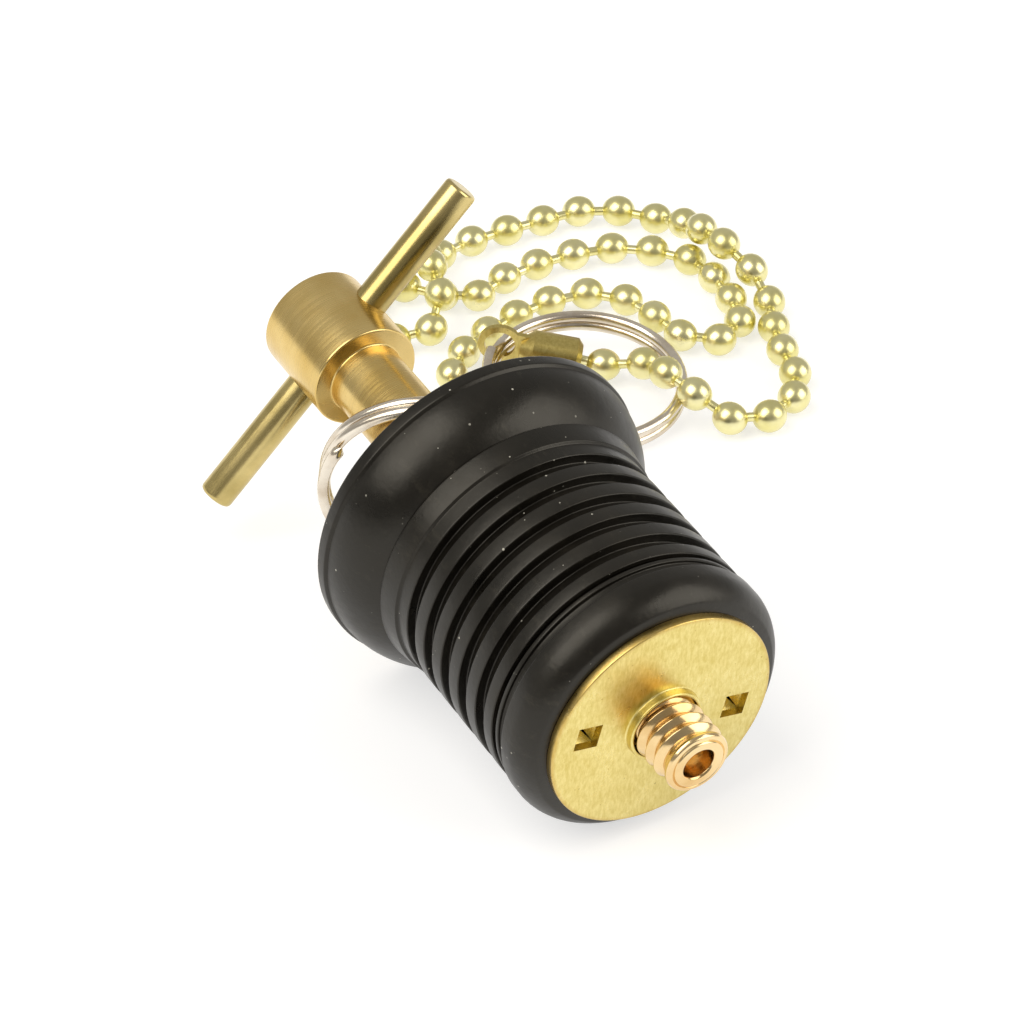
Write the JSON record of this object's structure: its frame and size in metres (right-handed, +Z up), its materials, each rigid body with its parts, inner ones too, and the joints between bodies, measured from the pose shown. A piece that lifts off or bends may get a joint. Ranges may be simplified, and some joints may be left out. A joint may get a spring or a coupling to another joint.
{
  "type": "drain plug for boat",
  "caption": "Expanding rubber drain plug with a brass T handle screw, lying on its side, with split rings and a ball chain loosely coiled beside it.",
  "frame": {"origin": "centre of the bounding box in plan, on the surface that the plug lies on", "axes": "+Z up; +Y level, away from the side where the nut plate is; the plug axis runs from the nut plate to the T handle along [-0.51341, 0.85109, 0.109797]"},
  "size_m": [0.0574, 0.1042, 0.0327],
  "materials": {
    "black_rubber": "moulded black rubber, matt, dusty with small nicks",
    "plate_brass": "pressed brass sheet, lightly brushed",
    "spindle_brass": "turned brass, fine turning marks, a little tarnished",
    "rod_brass": "drawn brass rod, a little tarnished",
    "ring_steel": "nickel-plated spring wire",
    "chain_brass": "bright lacquered brass beads",
    "coupling_brass": "pressed brass sheet, lacquered"
  },
  "bodies": {
    "bung": {"rubber_body": "black_rubber", "top_washer": "plate_brass", "neck_split_ring": "ring_steel", "chain_split_ring": "ring_steel", "ball_chain": "chain_brass", "neck_chain_coupling": "coupling_brass", "ring_chain_coupling": "coupling_brass"},
    "handle": {"handle_spindle": "spindle_brass", "cross_rod": "rod_brass"},
    "nut": {"nut_plate": "plate_brass"}
  },
  "joints": [
    {"name": "handle_turn", "type": "hinge", "parent": "bung", "child": "handle", "pos_m": [0.01189, -0.04581, 0.01237], "axis": [0.5134, -0.8511, -0.1098], "range_deg": [0, 1440]},
    {"name": "nut_travel", "type": "slide", "parent": "bung", "child": "nut", "axis": [-0.5134, 0.8511, 0.1098], "range_m": [0, 0.00508], "deforming": ["rubber_body"]}
  ],
  "couplings": [
    {"joint": "nut_travel", "follows": "handle_turn", "m_per_rad": 0.00020213}
  ]
}
